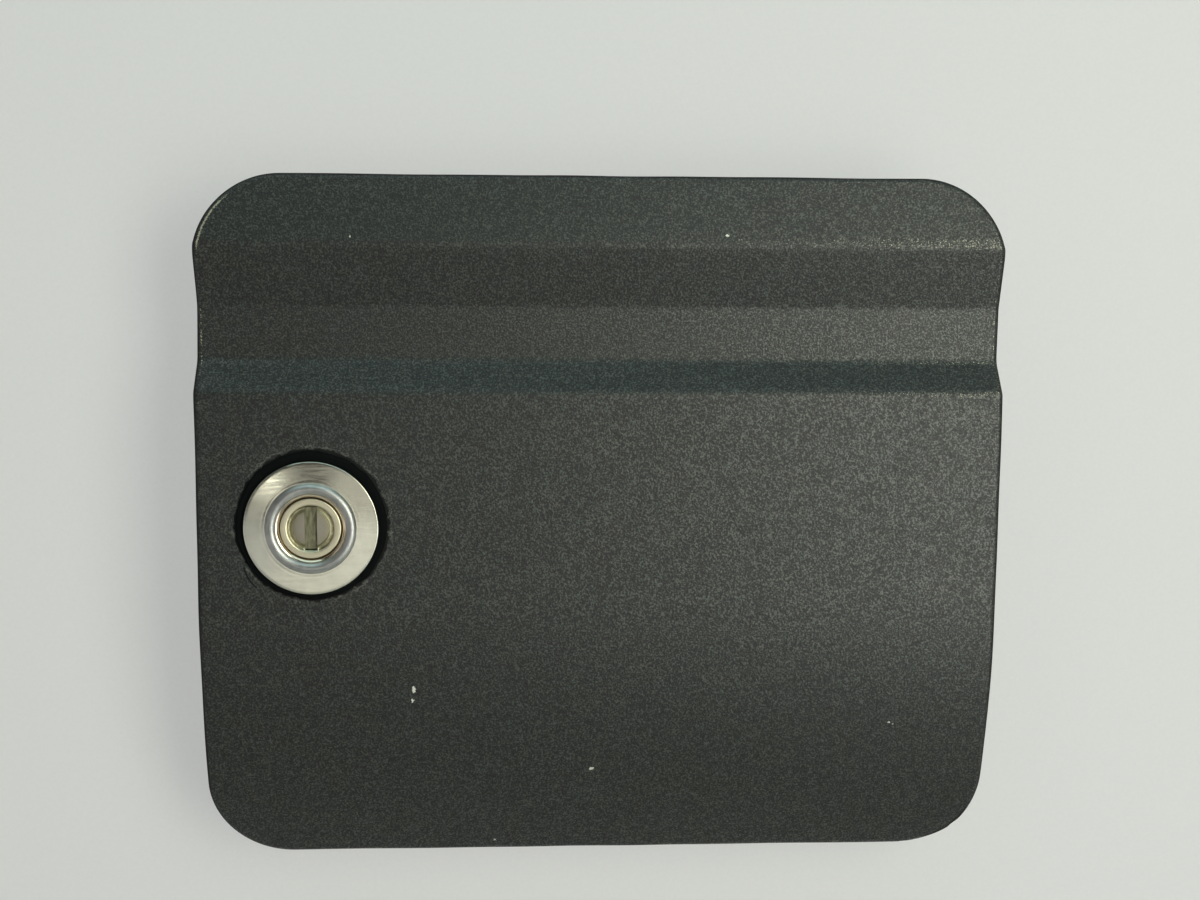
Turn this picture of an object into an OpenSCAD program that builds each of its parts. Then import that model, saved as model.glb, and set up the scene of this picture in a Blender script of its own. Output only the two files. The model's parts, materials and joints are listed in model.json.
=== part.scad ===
// Locking fuel door of a car: a hemmed steel panel with a pressed channel, a ring lock and a sprung hinge.
// Modelled with x to the right, y into the car and z up from the panel's bottom edge.
// The finished model is moved so that the hinge bracket's screw pattern is at the origin.

/* [Door panel] */
// Width of the door
door_w = 162; // [152:1:176]
// Height of the door
door_h = 142; // [136:1:156]
// Radius of the door's corners
corner_r = 17; // [12:1:22]
// Thickness of the outer skin
skin_t = 0.8; // [0.6:0.1:1]
// Thickness of the inner panel
inner_t = 0.7; // [0.5:0.1:0.9]
// Width of the skin's edge that is folded back over the inner panel
hem_w = 8; // [6:0.5:9]

/* [Pressed shape] */
// Height of the zone between the top edge and the ridge
top_zone_h = 14; // [11:0.5:16]
// Height of the slope from the ridge down to the channel floor
slope_h = 12.4; // [11:0.2:14]
// Height of the channel floor
channel_h = 10.6; // [9:0.2:12]
// Height of the step from the channel floor out to the flat face
step_h = 6.2; // [5:0.2:8]
// How far the top edge lies behind the flat face
top_edge_depth = 4.5; // [3:0.1:6]
// How far the ridge lies behind the flat face
ridge_depth = 1.1; // [0.5:0.1:2]
// Depth of the channel floor behind the flat face
channel_depth = 5; // [3.5:0.1:6]
// Radius of the pressed creases on the outer face
crease_r = 3; // [2.6:0.1:4]
// Height of the flat face between the step and the curve into the car
flat_h = 40.8; // [38:0.2:46]
// Slope of the curved face at the bottom edge, in degrees
tuck_angle = 24; // [16:1:28]

/* [Inner panel] */
// How far the pan stands off the skin
pan_depth = 4.7; // [3.5:0.1:5.5]
// Distance of the pan from the door's right edge
pan_right_margin = 11; // [10:0.5:13]
// Distance of the pan's lower edge below the start of the curved face
pan_drop = 38; // [32:1:42]
// Distance of the pan from the lock's axis
pan_lock_gap = 20; // [18:0.5:26]
// Corner radius of the pan
pan_r = 8; // [5:0.5:12]
// Radius of the lightening holes in the pan
light_r = 7; // [4:0.5:8]
// Distance between the lightening holes
light_pitch = 22; // [19:0.5:24]

/* [Lock] */
// Distance of the lock's axis from the door's left edge
lock_inset = 23; // [22:0.5:30]
// Distance of the lock's axis below the foot of the step
lock_drop = 26.8; // [24:0.2:29]
// Radius of the rubber gasket
gasket_r = 15.1; // [14.3:0.1:16]
// Thickness of the gasket
gasket_t = 1.2; // [0.8:0.1:2]
// Radius of the polished rosette
rosette_r = 13.3; // [12.8:0.1:14]
// Height of the rosette's rim
rosette_h = 1.1; // [0.9:0.1:1.6]
// Thickness of the rosette's sheet
rosette_t = 0.4; // [0.3:0.05:0.5]
// Radius of the rolled bead's section
bead_r = 1.65; // [1.2:0.05:1.7]
// Radius of the threaded barrel
barrel_r = 10; // [9.2:0.1:10.2]
// Length of the barrel behind the outer face
barrel_len = 20; // [19:0.5:24]
// Width across the barrel's two flats
barrel_flats = 17.6; // [16.5:0.1:18]
// Nut's width across flats
nut_flats = 24; // [22:0.5:25]
// Thickness of the nut
nut_t = 4; // [3:0.5:6]
// Radius of the washer under the nut
washer_r = 13.2; // [12.4:0.1:14]
// Thickness of the washer under the nut
washer_t = 1; // [0.6:0.1:1.5]

/* [Lock plug] */
// Radius of the turning plug
plug_r = 5.5; // [5.5:0.05:5.7]
// Radius of the plug's face
plug_face_r = 6; // [6:0.05:6.1]
// Height of the key slot
slot_h = 9; // [8.6:0.1:9.2]
// Width of the key slot
slot_w = 2.3; // [1.8:0.1:2.4]
// Number of wafers
wafer_count = 6; // [4:1:6]
// Thickness of a wafer
wafer_t = 1; // [0.8:0.05:1.1]
// Distance between the wafers
wafer_pitch = 1.8; // [1.6:0.05:1.85]
// Reach of the cam from the lock's axis
cam_reach = 24.5; // [20:0.5:26]
// Width of the cam
cam_w = 10; // [9:0.5:12]
// Thickness of the cam
cam_t = 2; // [1.5:0.1:3]
// Radius of the cam screw
cam_screw_r = 2; // [1.5:0.1:2.2]
// Thickness of the dust shutter
shutter_t = 0.3; // [0.2:0.05:0.4]

/* [Hinge] */
// Distance of the hinge pin from the door's right edge
pin_inset = 19; // [18:0.5:24]
// Depth of the hinge pin behind the flat face
pin_depth = 14; // [13.6:0.1:18]
// Radius of the hinge pin
pin_r = 2.5; // [2:0.1:3]
// Thickness of the hinge's steel plate
plate_t = 2; // [1.5:0.1:2.5]
// Radius of the eyes around the pin
eye_r = 5; // [4.5:0.1:5.1]
// Distance from the hinge's middle to the outer side of the arm's lugs
lug_half = 16.5; // [15:0.5:17]
// Depth of the bracket's mounting face behind the pin
bracket_depth = 14; // [12:0.5:20]
// Distance of the bracket's screws from the pin
screw_offset = 24; // [23:0.5:30]
// Distance between the bracket's two screw holes
screw_spacing = 40; // [36:1:50]
// Radius of the bracket's screw holes
screw_hole_r = 2.75; // [2.2:0.05:3.3]
// Radius of the closing spring's wire
wire_r = 0.8; // [0.6:0.05:0.9]
// Number of full turns of the closing spring
spring_turns = 5; // [3:1:6]
// Radius of the rivets' shanks
rivet_r = 1.6; // [1.2:0.1:2]

/* [Rubber bumpers] */
// Radius of a bumper
bumper_r = 4.5; // [3:0.5:5]
// Height of a bumper
bumper_h = 5; // [3:0.5:8]
// Distance of the bumpers from the door's left edge
bumper_inset = 15; // [14:0.5:20]
// Distance of the lower bumper below the start of the curved face
bumper_drop = 12; // [10:1:20]

/* [Hidden] */
$fn = 96;
cut = 1;                 // how far a cutting solid passes the face that it cuts
seat_gap = 0.05;         // gap between fitted pieces of one group
run_fit = 0.05;          // radial clearance of a turning fit
side_gap = 0.4;          // gap between the lugs and the ears
hem_t = 2 * skin_t + inner_t;
half_w = door_w / 2;
ridge_z = door_h - top_zone_h;
floor_top_z = ridge_z - slope_h;
floor_bottom_z = floor_top_z - channel_h;
foot_z = floor_bottom_z - step_h;
tuck_z = foot_z - flat_h;
tuck_r = tuck_z / sin(tuck_angle);
tuck_steps = 12;
depth_all = 60;          // longer than any piece is deep
past_edge = 6;           // how far the face's section runs on past the door's edges

hinge_z = tuck_z + 0.5 + lug_half;
pan_front = skin_t + pan_depth;
pan_rear = pan_front + inner_t;
pan_top_z = foot_z - crease_r + 0.2;
pan_bottom_z = tuck_z - pan_drop;
light_z = pan_bottom_z + light_r + 9;

lock_x = -half_w + lock_inset;
lock_z = foot_z - lock_drop;
pan_left_x = lock_x + pan_lock_gap;
pan_right_x = half_w - pan_right_margin;
rim_front = gasket_t + rosette_h;
flange_front = rim_front - rosette_t;
rim_bend_r = 0.5;
gate_r = plug_face_r + 0.3;      // opening of the rosette and of the housing's mouth
bead_mid = gate_r + bead_r;
bead_h = rim_front - 0.2;
lock_hole_gap = 0.3;
face_h = flange_front - 0.05;    // front of the plug's recessed face, ahead of the outer skin
cap_t = 0.35;
cap_lip = 0.7;
cap_lip_w = 1.1;
skirt_end = -0.6;
head_r = plug_face_r - cap_t - seat_gap;
plug_front = face_h - cap_t - seat_gap;
chamber_end = -3.4;
head_end = chamber_end - 0.4;
mouth_end = head_end - 0.3;
wafer_first = head_end - 0.8;
wafer_x = 2;                     // half the width of a wafer
wafer_half = sqrt(plug_r * plug_r - wafer_x * wafer_x) - 0.02;
wafer_window = 8;
arm_x = 3.5;                     // reach of a wafer's spring arm from the lock's axis
arm_low = 2.1;
arm_high = 2.9;
slot_end = wafer_first - wafer_count * wafer_pitch - 0.2;
plug_end = -barrel_len - 0.2;
cam_front = plug_end - 0.1;
cam_rear = cam_front - cam_t;
cam_washer_t = 0.8;
cam_hub_r = 8;
cam_head_h = 2.4;
cam_screw_end = slot_end - 1.5;
tip_w = 6.4;
groove_w = 4.4;
washer_front = skin_t + inner_t;
washer_rear = washer_front + washer_t;
shutter_front = plug_front - 0.1;
shutter_pin_r = 0.3;
knuckle_r = 0.55;
shutter_axis_x = slot_w / 2 + 1.15;
shutter_axis_h = shutter_front - knuckle_r;
shutter_half = 4.2;
shutter_left = -1.75;
shutter_room = 0.25;
knuckle_low = 1.6;

pad_rear = pan_rear + plate_t;
pin_x = half_w - pin_inset;
lug_front_y = pan_rear - pin_depth;
pad_rear_y = pad_rear - pin_depth;
eye_root = 0.96 * eye_r; // where the straight edges of lugs and ears run into the eye
heel_x = eye_r + 2;
pad_reach = 36;          // from the pin to the arm's riveted end
shoulder_reach = 12;
flange_y = pad_rear_y + 2;
rivet_reach = [30, 14];
rivet_z = 9;
rivet_head_r = 2 * rivet_r;
bend_in = plate_t + 1;   // outer radius of the bends in the hinge's plate
ear_reach = 17;
ear_root = 5;
ear_heel = 7;
foot_w = 17;             // the bracket's plate behind the screws
foot_margin = 7;
foot_r = 5;
ear_half = lug_half - plate_t - side_gap;
spring_r = -pad_rear_y - wire_r - 0.1;
spring_pitch = 2 * wire_r + 0.4;
spring_half = (spring_turns + 0.25) * spring_pitch / 2;
leg_out = bracket_depth - plate_t - 4;
coil_steps = 16;
bend_r = 1.5;
clip_t = 0.6;
clip_gap = 0.3;
pin_top = lug_half + 0.2;
pin_head_r = pin_r + 1.7;
pin_head_h = 1.6;
clip_top = -lug_half - clip_gap;
clip_r = pin_r + 1.9;
pin_neck_r = 0.7 * pin_r;
mount_x = pin_x - screw_offset;
mount_y = pin_depth + bracket_depth;

steel = [0.56, 0.57, 0.58];
zinc = [0.66, 0.67, 0.68];
bright = [0.82, 0.83, 0.84];
paint = [0.07, 0.08, 0.08];
rubber = [0.03, 0.03, 0.03];
brass = [0.72, 0.6, 0.32];
shutter_plate = [0.42, 0.42, 0.34];

// Paths and sheets
function unit(v) = v / norm(v);
function side(v) = [-v[1], v[0]];
function reversed(list) = [for (i = [len(list) - 1:-1:0]) list[i]];

// The arc of radius r that rounds the corner p between a and b
function corner_arc(a, p, b, r, steps = 6) =
    let (
        u = unit(a - p),
        v = unit(b - p),
        half = acos(u * v) / 2,
        centre = p + unit(u + v) * r / sin(half),
        from = p + u * r / tan(half) - centre,
        to = p + v * r / tan(half) - centre,
        start = atan2(from[1], from[0]),
        turn = atan2(from[0] * to[1] - from[1] * to[0], from * to)
    )
    [for (i = [0:steps]) centre + r * [cos(start + turn * i / steps), sin(start + turn * i / steps)]];

function rounded(path, r, steps = 6) = [
    path[0],
    for (i = [1:len(path) - 2]) each corner_arc(path[i - 1], path[i], path[i + 1], r, steps),
    path[len(path) - 1]
];

// The path moved sideways by d, to its left
function offset_path(path, d) = [
    for (i = [0:len(path) - 1])
        let (
            last = len(path) - 1,
            into = side(unit(path[max(i, 1)] - path[max(i, 1) - 1])),
            out = side(unit(path[min(i, last - 1) + 1] - path[min(i, last - 1)])),
            both = into + out
        )
        path[i] + 2 * d * both / (both * both)
];

// A bent sheet between the distances near and far from a path
function sheet(path, near, far) = concat(offset_path(path, near), reversed(offset_path(path, far)));

function tuck_arc() = [
    for (i = [1:tuck_steps])
        let (a = tuck_angle * i / tuck_steps)
        [tuck_r * (1 - cos(a)), tuck_z - tuck_r * sin(a)]
];
function last_of(list) = list[len(list) - 1];
function tuck_tail() = [last_of(tuck_arc()) + past_edge * [sin(tuck_angle), -cos(tuck_angle)]];

ridge = [ridge_depth, ridge_z];
top_edge = [top_edge_depth, door_h];
above_top = top_edge + past_edge * unit(top_edge - ridge);
face_path = concat(
    rounded(
        [
            above_top,
            ridge,
            [channel_depth, floor_top_z],
            [channel_depth, floor_bottom_z],
            [0, foot_z],
            [0, tuck_z]
        ],
        crease_r
    ),
    tuck_arc(),
    tuck_tail()
);
flat_path = concat([[0, foot_z], [0, tuck_z]], tuck_arc(), tuck_tail());

module across(w) {
    rotate([90, 0, 90]) translate([0, 0, -w / 2]) linear_extrude(w) children();
}

module through(from_y = -depth_all / 2, to_y = depth_all / 2) {
    translate([0, to_y, 0]) rotate([90, 0, 0]) linear_extrude(to_y - from_y) children();
}

module rounded_rect(w, h, r) {
    square([w - 2 * r, h], center = true);
    square([w, h - 2 * r], center = true);
    for (sx = [-1, 1], sy = [-1, 1])
        translate([sx * (w / 2 - r), sy * (h / 2 - r)]) circle(r);
}

module outline(inset) {
    translate([0, door_h / 2]) rounded_rect(door_w - 2 * inset, door_h - 2 * inset, corner_r - inset);
}

module layer(near, far, inset) {
    intersection() {
        across(door_w + 2 * cut) polygon(sheet(face_path, near, far));
        through() outline(inset);
    }
}

module barrel_section(gap) {
    intersection() {
        circle(barrel_r + gap);
        square([barrel_flats + 2 * gap, 3 * barrel_r], center = true);
    }
}

module lock_hole() {
    through() translate([lock_x, lock_z]) barrel_section(lock_hole_gap);
}

module at_lock() {
    translate([lock_x, 0, lock_z]) rotate([90, 0, 0]) children();
}

module at_pin() {
    translate([pin_x, pin_depth, hinge_z]) children();
}

module placed() {
    translate([-mount_x, -mount_y, -hinge_z]) children();
}

// Door panel
module outer_skin() {
    color(paint) placed() difference() {
        union() {
            layer(0, skin_t, 0);
            difference() {
                layer(0, hem_t, 0);
                through() outline(skin_t);
            }
            difference() {
                layer(skin_t + inner_t, hem_t, 0);
                through() outline(hem_w);
            }
        }
        lock_hole();
    }
}

module pan_outline(inset) {
    w = pan_right_x - pan_left_x;
    h = pan_top_z - pan_bottom_z;
    translate([(pan_right_x + pan_left_x) / 2, (pan_top_z + pan_bottom_z) / 2])
        rounded_rect(w - 2 * inset, h - 2 * inset, pan_r - inset);
}

module pan_layer(near, far) {
    intersection() {
        across(door_w) polygon(sheet(flat_path, near, far));
        through() pan_outline(0);
    }
}

module inner_panel() {
    color(paint) placed() difference() {
        union() {
            difference() {
                layer(skin_t, skin_t + inner_t, skin_t + seat_gap);
                through() pan_outline(inner_t);
            }
            difference() {
                pan_layer(skin_t, pan_rear);
                through() pan_outline(inner_t);
            }
            pan_layer(pan_front, pan_rear);
        }
        lock_hole();
        through() for (i = [-1:1])
            translate([(pan_left_x + pan_right_x) / 2 + i * light_pitch, light_z]) circle(light_r);
        rivet_places() cylinder(r = rivet_r + seat_gap, h = depth_all, center = true);
    }
}

module bumper(z) {
    translate([-half_w + bumper_inset, 0, z]) rotate([-90, 0, 0]) {
        cylinder(r = bumper_r, h = seat_depth(z) + 0.6 * bumper_h);
        translate([0, 0, seat_depth(z) + 0.6 * bumper_h]) dome(bumper_r, 0.4 * bumper_h);
    }
}

// Depth of the inner panel's rear face at a height, on the flat floor or on the curved face
function seat_depth(z) = hem_t - skin_t
    + (z > foot_z ? channel_depth : tuck_r - sqrt(pow(tuck_r, 2) - pow(max(0, tuck_z - z), 2)));

module rubber_bumpers() {
    color(rubber) placed() for (z = [tuck_z - bumper_drop, (floor_top_z + floor_bottom_z) / 2])
        difference() {
            bumper(z);
            across(door_w) polygon(sheet(face_path, -depth_all / 3, skin_t + inner_t));
        }
}

module dome(r, h) {
    big = (r * r + h * h) / (2 * h);
    intersection() {
        translate([0, 0, h - big]) sphere(big);
        cylinder(r = r, h = h);
    }
}

// Hinge
// The point where a line from p touches the circle of radius r about the origin
function touch(p, r, way) =
    let (
        d = norm(p),
        a = atan2(-p[1], -p[0]) + way * asin(r / d)
    )
    p + sqrt(d * d - r * r) * [cos(a), sin(a)];

module rivet_places() {
    at_pin() for (reach = rivet_reach, z = [-rivet_z, rivet_z])
        translate([-reach, pad_rear_y, z]) rotate([-90, 0, 0]) children();
}

module pin_bores() {
    cylinder(r = pin_r + run_fit, h = 4 * lug_half, center = true);
}

module hinge_arm() {
    u_path = rounded(
        [
            [eye_r + cut, lug_half],
            [lug_front_y, lug_half],
            [lug_front_y, -lug_half],
            [eye_r + cut, -lug_half]
        ],
        bend_in
    );
    shoulder = [-shoulder_reach, flange_y];
    color(steel) placed() difference() {
        at_pin() {
            intersection() {
                across(door_w) polygon(sheet(u_path, 0, plate_t));
                linear_extrude(2 * lug_half + 2 * cut, center = true) polygon([
                    [-pad_reach, lug_front_y],
                    [-pad_reach, flange_y],
                    shoulder,
                    touch(shoulder, eye_root, 1),
                    [eye_root, 0],
                    [heel_x, pad_rear_y],
                    [heel_x, lug_front_y]
                ]);
            }
            for (z = [-lug_half, lug_half - plate_t]) translate([0, 0, z]) cylinder(r = eye_r, h = plate_t);
        }
        at_pin() pin_bores();
        rivet_places() cylinder(r = rivet_r + seat_gap, h = depth_all, center = true);
    }
}

module hinge_rivets() {
    grip = plate_t + inner_t;
    color(steel) placed() rivet_places() {
        translate([0, 0, -grip - 0.1]) cylinder(r = rivet_r, h = grip + 0.2);
        dome(rivet_head_r, 0.9 * rivet_r);
        translate([0, 0, -grip]) mirror([0, 0, 1]) dome(0.9 * rivet_head_r, 0.7 * rivet_r);
    }
}

module hinge_bracket() {
    u_path = rounded(
        [
            [-eye_r - cut, -ear_half],
            [bracket_depth, -ear_half],
            [bracket_depth, ear_half],
            [-eye_r - cut, ear_half]
        ],
        bend_in
    );
    corner = [-ear_reach, bracket_depth - ear_root];
    color(steel) placed() at_pin() difference() {
        union() {
            intersection() {
                across(door_w) polygon(sheet(u_path, 0, plate_t));
                linear_extrude(3 * lug_half, center = true) {
                    circle(eye_r);
                    polygon([
                        [-ear_reach, bracket_depth],
                        corner,
                        touch(corner, eye_root, -1),
                        [eye_root, 0],
                        [eye_root, bracket_depth - ear_heel],
                        [0, bracket_depth]
                    ]);
                }
            }
            translate([-screw_offset, 0, 0]) through(bracket_depth - plate_t, bracket_depth)
                rounded_rect(foot_w, screw_spacing + 2 * foot_margin, foot_r);
        }
        pin_bores();
        for (z = [-1, 1]) translate([-screw_offset, 0, z * screw_spacing / 2])
            rotate([90, 0, 0]) cylinder(r = screw_hole_r, h = 4 * bracket_depth, center = true);
        translate([-spring_r, leg_out, 0]) cylinder(r = wire_r + 0.15, h = lug_half);
    }
}

// The pin is one turned piece: shank, neck for the clip, and head
module hinge_pin() {
    end = clip_top - clip_t - 1;
    neck_low = clip_top - clip_t - seat_gap;
    neck_high = clip_top + seat_gap;
    color(bright) placed() at_pin() rotate_extrude() polygon([
        [0, end],
        [pin_r, end],
        [pin_r, neck_low],
        [pin_neck_r, neck_low],
        [pin_neck_r, neck_high],
        [pin_r, neck_high],
        [pin_r, pin_top],
        [pin_head_r, pin_top],
        [pin_head_r, pin_top + pin_head_h],
        [0, pin_top + pin_head_h]
    ]);
}

module pin_clip() {
    mouth_w = 1.2 * pin_r;
    color(steel) placed() at_pin() translate([0, 0, clip_top - clip_t]) difference() {
        cylinder(r = clip_r, h = clip_t);
        translate([0, 0, -cut]) cylinder(r = pin_neck_r + seat_gap, h = clip_t + 2 * cut);
        translate([0, -mouth_w / 2, -cut]) cube([2 * clip_r, mouth_w, clip_t + 2 * cut]);
    }
}

// The spring's wire: a leg on the arm's heel, the coil around the pin, and a leg hooked into the upper ear
spring_path = concat(
    [for (x = [heel_x - 0.6, heel_x / 2]) [x, -spring_r, -spring_half]],
    [
        for (i = [0:(spring_turns + 0.25) * coil_steps])
            let (a = -90 - 360 * i / coil_steps)
            [spring_r * cos(a), spring_r * sin(a), -spring_half + spring_pitch * i / coil_steps]
    ],
    [[-spring_r, (leg_out - bend_r) / 2, spring_half]],
    [
        for (a = [0:30:90])
            [-spring_r, leg_out - bend_r + bend_r * sin(a), spring_half + bend_r - bend_r * cos(a)]
    ],
    [[-spring_r, leg_out, ear_half - 0.2]]
);

// A round wire along a path, as rings of points turned square to it
function tangents(path) = [
    for (i = [0:len(path) - 1]) unit(path[min(i + 1, len(path) - 1)] - path[max(i - 1, 0)])
];
function turned(n, t) = unit(n - (n * t) * t);
function normals(t) = [
    for (i = 0, n = turned([0, 0.1, 1], t[0]); i < len(t); i = i + 1, n = turned(n, t[min(i, len(t) - 1)])) n
];

module wire(path, r, sides = 8) {
    t = tangents(path);
    n = normals(t);
    rings = [
        for (i = [0:len(path) - 1])
            for (j = [0:sides - 1])
                path[i] + r * (cos(360 * j / sides) * n[i] + sin(360 * j / sides) * cross(t[i], n[i]))
    ];
    last = (len(path) - 1) * sides;
    polyhedron(
        rings,
        concat(
            [[for (j = [0:sides - 1]) j]],
            [
                for (i = [0:len(path) - 2], j = [0:sides - 1])
                    let (a = i * sides + j, b = i * sides + (j + 1) % sides)
                    [b, a, a + sides, b + sides]
            ],
            [[for (j = [sides - 1:-1:0]) last + j]]
        )
    );
}

module closing_spring() {
    color(steel) placed() at_pin() wire(spring_path, wire_r);
}

// Lock, drawn with its axis along z and its front towards +z
module lathe() {
    rotate_extrude() children();
}

module tube(outer, inner, low, high) {
    translate([0, 0, low]) difference() {
        cylinder(r = outer, h = high - low);
        translate([0, 0, -cut]) cylinder(r = inner, h = high - low + 2 * cut);
    }
}

module block(low, high) {
    translate(low) cube(high - low);
}

module lock_gasket() {
    bevel = 0.5;
    gasket_hole_r = barrel_r + lock_hole_gap + 0.1;
    color(rubber) placed() at_lock() lathe() polygon([
        [gasket_hole_r, 0],
        [gasket_r, 0],
        [gasket_r, gasket_t - bevel],
        [gasket_r - bevel, gasket_t],
        [gasket_hole_r, gasket_t]
    ]);
}

module lock_rosette() {
    valley = asin((rim_front - bead_h) / bead_r);
    steps = 16;
    rim = rounded(
        [
            [rosette_r, gasket_t],
            [rosette_r, rim_front],
            [bead_mid + bead_r * cos(valley), rim_front]
        ],
        rim_bend_r
    );
    bead = [
        for (i = [1:steps])
            let (a = valley + (180 - valley) * i / steps)
            [bead_mid + bead_r * cos(a), bead_h + bead_r * sin(a)]
    ];
    color(bright) placed() at_lock() lathe() polygon(sheet(concat(rim, bead), 0, rosette_t));
}

module lock_housing() {
    flange_r = rosette_r - rosette_t - seat_gap;
    groove_reach = plug_r + 0.9;
    color(zinc) placed() at_lock() difference() {
        union() {
            translate([0, 0, gasket_t]) cylinder(r = flange_r, h = flange_front - gasket_t);
            translate([0, 0, -barrel_len]) linear_extrude(barrel_len + gasket_t) barrel_section(0);
            lathe() translate([bead_mid, bead_h]) circle(bead_r - rosette_t - seat_gap);
        }
        translate([0, 0, -barrel_len - cut]) cylinder(r = plug_r + run_fit, h = barrel_len + 2 * cut);
        translate([0, 0, mouth_end]) cylinder(r = gate_r, h = 4 * gasket_t - mouth_end);
        block([-groove_w / 2, -groove_reach, slot_end], [groove_w / 2, groove_reach, mouth_end + cut]);
    }
}

module lock_washer() {
    color(steel) placed() at_lock() tube(washer_r, barrel_r + seat_gap, -washer_rear, -washer_front);
}

module lock_nut() {
    color(steel) placed() at_lock() translate([0, 0, -washer_rear - nut_t]) difference() {
        cylinder(r = nut_flats / 2 / cos(30), h = nut_t, $fn = 6);
        translate([0, 0, -cut]) cylinder(r = barrel_r + seat_gap, h = nut_t + 2 * cut);
    }
}

// Lock plug
module wafer_section(gap) {
    translate([-wafer_x - gap, -wafer_half - gap]) square([2 * (wafer_x + gap), 2 * (wafer_half + gap)]);
    translate([0, arm_low - gap]) square([arm_x + gap, arm_high - arm_low + 2 * gap]);
}

module lock_plug() {
    color(zinc) placed() at_lock() difference() {
        union() {
            translate([0, 0, plug_end]) cylinder(r = plug_r, h = plug_front - plug_end);
            translate([0, 0, head_end]) cylinder(r = head_r, h = plug_front - head_end);
            translate([0, 0, head_end]) cylinder(r = plug_face_r, h = skirt_end - seat_gap - head_end);
            translate([0, 0, plug_end - cam_t / 2]) cube([tip_w, tip_w, cam_t], center = true);
        }
        block([-slot_w / 2, -slot_h / 2, slot_end], [slot_w / 2, slot_h / 2, plug_front + cut]);
        block(
            [shutter_left - shutter_room, -shutter_half - 0.15, chamber_end],
            [shutter_axis_x + 0.9, shutter_half + 0.15, plug_front + cut]
        );
        for (i = [0:wafer_count - 1])
            translate([0, 0, wafer_first - i * wafer_pitch - wafer_t - seat_gap])
                linear_extrude(wafer_t + 2 * seat_gap) {
                    wafer_section(seat_gap);
                    square([2 * (wafer_x + seat_gap), 3 * plug_r], center = true);
                    translate([wafer_x - 0.1, -arm_low]) square([arm_x - wafer_x + 0.2, 2 * arm_low]);
                }
        translate([shutter_axis_x, 0, shutter_axis_h]) rotate([90, 0, 0])
            cylinder(r = shutter_pin_r + 0.02, h = 3 * plug_r, center = true);
        translate([0, 0, plug_end - 2 * cam_t])
            cylinder(r = cam_screw_r + seat_gap, h = cam_screw_end + 0.3 - plug_end + 2 * cam_t);
    }
}

module plug_cap() {
    outer = rounded(
        [
            [plug_face_r, skirt_end],
            [plug_face_r, face_h + cap_lip],
            [plug_face_r - cap_lip_w, face_h + cap_lip],
            [slot_h / 2 + 0.1, face_h],
            [0, face_h]
        ],
        0.25
    );
    color(bright) placed() at_lock() difference() {
        lathe() polygon(sheet(outer, 0, cap_t));
        block([-slot_w / 2, -slot_h / 2, face_h - 2 * cut], [slot_w / 2, slot_h / 2, face_h + 2 * cut]);
    }
}

module lock_wafers() {
    color(brass) placed() at_lock() for (i = [0:wafer_count - 1])
        translate([0, 0, wafer_first - i * wafer_pitch - wafer_t]) linear_extrude(wafer_t) difference() {
            wafer_section(0);
            square([slot_w + 0.1, wafer_window], center = true);
        }
}

module wafer_springs() {
    coil_r = wafer_t / 2 - 0.02;
    half_len = arm_low - 0.1;
    color(steel) placed() at_lock() for (i = [0:wafer_count - 1])
        translate([(wafer_x + arm_x) / 2 + 0.1, -0.05, wafer_first - i * wafer_pitch - wafer_t / 2])
            rotate([90, 0, 0]) tube(coil_r, coil_r / 2, -half_len, half_len);
}

module lock_cam() {
    color(steel) placed() at_lock() translate([0, 0, cam_front - cam_t]) linear_extrude(cam_t) difference() {
        union() {
            circle(cam_hub_r);
            translate([-cam_reach + cam_w / 2, 0]) circle(cam_w / 2);
            translate([-cam_reach + cam_w / 2, -cam_w / 2]) square([cam_reach - cam_w / 2, cam_w]);
        }
        square(tip_w + 2 * seat_gap, center = true);
    }
}

module cam_washer() {
    color(steel) placed() at_lock()
        tube(2.2 * cam_screw_r, cam_screw_r + seat_gap, cam_rear - cam_washer_t, cam_rear);
}

module cam_screw() {
    seat = cam_rear - cam_washer_t;
    slot_len = 0.8 * cam_screw_r;
    slot_half = 0.35;
    slot_deep = 1.4;
    color(bright) placed() at_lock() difference() {
        union() {
            translate([0, 0, seat - 0.1]) cylinder(r = cam_screw_r, h = cam_screw_end - seat + 0.1);
            translate([0, 0, seat]) mirror([0, 0, 1]) dome(1.9 * cam_screw_r, cam_head_h);
        }
        for (a = [0, 90]) rotate(a) block(
            [-slot_len, -slot_half, seat - cam_head_h - cut],
            [slot_len, slot_half, seat - cam_head_h + slot_deep]
        );
    }
}

// Dust shutter
module dust_shutter() {
    color(shutter_plate) placed() at_lock() difference() {
        union() {
            block(
                [shutter_left, -shutter_half, shutter_front - shutter_t],
                [shutter_axis_x, shutter_half, shutter_front]
            );
            translate([shutter_axis_x, shutter_half, shutter_axis_h]) rotate([90, 0, 0])
                cylinder(r = knuckle_r, h = 2 * shutter_half);
        }
        block(
            [shutter_axis_x - 0.8, -knuckle_low, shutter_axis_h - 1],
            [shutter_axis_x + 1, knuckle_low, shutter_front + cut]
        );
        translate([shutter_axis_x, 0, shutter_axis_h]) rotate([90, 0, 0])
            cylinder(r = shutter_pin_r + run_fit, h = 3 * shutter_half, center = true);
    }
}

module shutter_pin() {
    reach = sqrt(head_r * head_r - shutter_axis_x * shutter_axis_x) - 0.15;
    color(steel) placed() at_lock() translate([shutter_axis_x, 0, shutter_axis_h]) rotate([90, 0, 0])
        cylinder(r = shutter_pin_r, h = 2 * reach, center = true);
}

module shutter_spring() {
    color(bright) placed() at_lock() translate([shutter_axis_x, 0, shutter_axis_h]) rotate([90, 0, 0])
        tube(shutter_pin_r + 0.2, shutter_pin_r + seat_gap, -knuckle_low + 0.2, knuckle_low - 0.2);
}

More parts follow.
